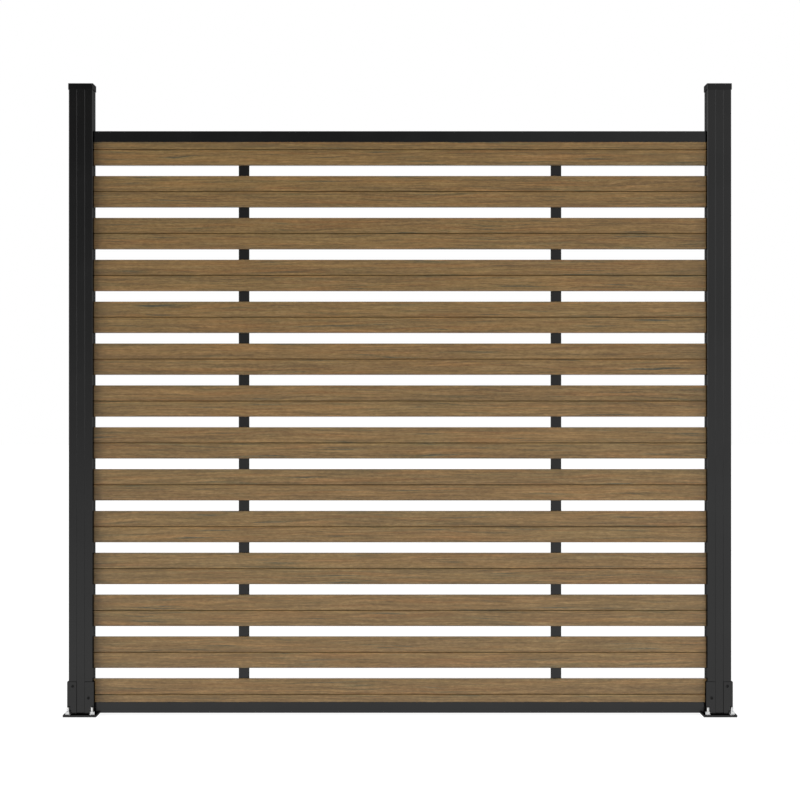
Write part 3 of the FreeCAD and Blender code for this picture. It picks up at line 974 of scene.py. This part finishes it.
def screw_mesh():
    """Pan head with a hexagon socket, and a short shank; the head stands out of the front."""
    socket_half = 1.6 * MM
    socket_depth = 1.3 * MM
    shank, shank_tip, shank_length = 2.4 * MM, 2.2 * MM, 3.2 * MM
    rim, upright_side, shoulder = 0.15 * MM, 0.6 * MM, 1.5 * MM
    dome = SCREW_HEAD_HEIGHT - upright_side
    dome_steps = 5

    def socket(turn):
        return hexagon_reach(turn, socket_half)

    section = [
        (shank_tip, -shank_length),
        (shank, 0),
        (SCREW_HEAD - 0.1 * MM, 0),
        (SCREW_HEAD, rim),
    ]
    for step in range(1, dome_steps + 1):
        turn = math.pi / 2 * step / dome_steps
        reach = SCREW_HEAD - shoulder * (1 - math.cos(turn))
        section.append((reach, upright_side + dome * math.sin(turn)))
    section += [(socket, SCREW_HEAD_HEIGHT), (socket, SCREW_HEAD_HEIGHT - socket_depth)]
    mesh = lofted([round_ring(radius, level, 36) for radius, level in section])
    mesh.transform(Matrix.Rotation(math.pi / 2, 4, "X"))
    return mesh


def make_anchors():
    """Studs, washers and nuts at the four corners of both plates."""
    sizes = {"Posts apart": 2 * POST_X, "Across": 2 * ANCHOR_X, "Along": 2 * ANCHOR_Y}
    for mesh, kind, seed in (
        (stud_mesh(), "studs", 3),
        (washer_mesh(), "washers", 5),
        (nut_mesh(), "nuts", 7),
    ):
        made = repeated(mesh, ANCHORS, Seed=seed, Finish=ZINC, **sizes)
        nodes = [f"{side_name}_anchor_{kind}" for side_name, _ in SIDES]
        finished(f"anchor_{kind}_all", made, ZINC, nodes)


def make_screws():
    """Screws through the front and rear of the shoes."""
    sizes = {
        "Post": POST_X,
        "Offset": SCREW_OFFSET,
        "Face": ANGLE_OUTSIDE,
        "Low": SCREW_LOW,
        "High": SCREW_HIGH,
    }
    made = repeated(screw_mesh(), SCREWS, Finish=SCREW_FINISH, **sizes)
    finished("shoe_screws", made, SCREW_FINISH)


STACK = stack_tree()
ANCHORS = anchor_tree()
SCREWS = screw_tree()

make_boards()
make_rail("bottom_rail", BOTTOM_RAIL, False)
make_rail("top_rail", TOP_RAIL, True)
for side_name, side_sign in SIDES:
    make_post(side_name, side_sign)
    outer_turn = side_sign * math.pi / 2
    make_strip(side_name, "front_cover", side_sign, 0, POST_LOW.z, POST_HIGH.z)
    make_strip(side_name, "rear_cover", side_sign, math.pi, POST_LOW.z, POST_HIGH.z)
    make_strip(side_name, "outer_cover", side_sign, outer_turn, POST_LOW.z, POST_HIGH.z)
    make_strip(side_name, "inner_filler", side_sign, -outer_turn, FILLER_LOW.z, FILLER_HIGH.z)
    make_cap(side_name, side_sign)
    make_shoe(side_name, side_sign)
    for spacers, spacer_box, finish, slot in (
        ("mid_spacers", MID_SPACER, COAT, "coated_aluminium"),
        ("end_spacers", END_SPACER, PLASTIC, "black_plastic"),
    ):
        make_spacers(side_name, side_sign, spacers, spacer_box, finish)
make_anchors()
make_screws()


def azimuth(tree, x, y):
    """The direction around the screen of a place or a ray, in degrees."""
    return tree.maths("ARCTAN2", x, -y) * (180 / math.pi)


def flagged(tree, around):
    """How fully a direction lies within the dark flag, which has soft edges."""
    return tree.ramped(around, *FLAG_LEFT) * tree.ramped(around, *FLAG_RIGHT, 1, 0)


def background_rays(tree):
    """Whether the camera sees a point directly, and whether it sees it in any way.

    The second holds in gloss and through glass too.
    """
    rays = tree.node("ShaderNodeLightPath").socket.node
    in_view = Wire(tree, rays.outputs["Is Camera Ray"])
    seen = in_view
    for kind in ("Is Glossy Ray", "Is Transmission Ray"):
        seen = tree.maths("MAXIMUM", seen, Wire(tree, rays.outputs[kind]))
    return in_view, seen


def make_floor():
    """Pale floor that runs out to the white background and keeps a soft shadow.

    In gloss it shows the flag, more of it the farther out it lies in front of the screen.
    """
    material, tree, place = new_material("pale_floor")
    in_view, seen = background_rays(tree)
    x, y, _ = tree.parts(place)
    far = tree.ramped(-y, 1.2, 3, 0.0, 0.5) + tree.ramped(-y, 3, 22, 0.0, 0.5)
    dimmed = 1 - flagged(tree, azimuth(tree, x, y)) * far * (1 - in_view) * FLAG_ON_FLOOR
    grey = (FLOOR_GREY, FLOOR_GREY, FLOOR_GREY, 1)
    matt = tree.node("ShaderNodeBsdfDiffuse", None, {"Color": grey})
    glow = tree.node("ShaderNodeEmission", None, {"Color": dimmed, "Strength": FLOOR_GLOW})
    both = tree.node("ShaderNodeMixShader", None, {0: seen * FLOOR_GLOW_SHARE, 1: matt, 2: glow})
    tree.node("ShaderNodeOutputMaterial", None, {"Surface": both})
    mesh = bpy.data.meshes.new("floor")
    corners = [(x, y, 0) for x, y, _ in box_corners(FLOOR_REACH, FLOOR_REACH, 0)]
    mesh.from_pydata(corners, [], [(0, 1, 2, 3)])
    mesh.materials.append(material)
    floor = bpy.data.objects.new("floor", mesh)
    bpy.context.scene.collection.objects.link(floor)


def make_world():
    """White studio: a strong lamp on the left, a weak one on the right, a dark flag between."""
    world = bpy.data.worlds.new("white_studio")
    world.use_nodes = True
    world.node_tree.nodes.clear()
    tree = Tree(world.node_tree)
    direction = tree.node("ShaderNodeTexCoord", None, None, output="Generated")
    x, y, z = tree.parts(direction)
    around = azimuth(tree, x, y)
    height = tree.maths("ARCSINE", z) * (180 / math.pi)
    low = tree.ramped(height, *LAMP_TOP, 1.0, 0.0)

    def lamp(middle, strength):
        return tree.ramped(abs(around - middle), *LAMP_HALF_WIDTH, 1.0, 0.0) * low * strength

    flag = flagged(tree, around) * tree.ramped(height, *FLAG_FOOT)
    flag = flag * tree.ramped(height, *FLAG_TOP, 1, 0) * FLAG_STRENGTH
    behind = tree.ramped(abs(around), *BACKDROP, 1.0, LIGHT_FROM_BEHIND)
    level = (1 - flag) * behind
    level = level + lamp(LEFT_LAMP, LEFT_STRENGTH) + lamp(RIGHT_LAMP, RIGHT_STRENGTH)
    in_view, seen = background_rays(tree)
    white = tree.maths("MAXIMUM", in_view, seen * tree.ramped(abs(around), *BACKDROP))
    strength = tree.maths("MAXIMUM", white, level)
    light = tree.node("ShaderNodeBackground", None, {"Color": (1, 1, 1, 1), "Strength": strength})
    tree.node("ShaderNodeOutputWorld", None, {"Surface": light})
    bpy.context.scene.world = world


def make_camera():
    """Camera level with the middle of the screen, square to it."""
    camera = bpy.data.cameras.new("camera")
    camera.sensor_width = SENSOR_WIDTH
    camera.lens = SENSOR_WIDTH * FOCAL_PIXELS / PICTURE_PIXELS
    holder = bpy.data.objects.new("camera", camera)
    holder.location = (0, -CAMERA_DISTANCE, CAMERA_HEIGHT)
    holder.rotation_euler = (math.pi / 2, 0, 0)
    bpy.context.scene.collection.objects.link(holder)
    bpy.context.scene.camera = holder


make_floor()
make_world()
make_camera()
bpy.context.scene.view_settings.view_transform = "Standard"
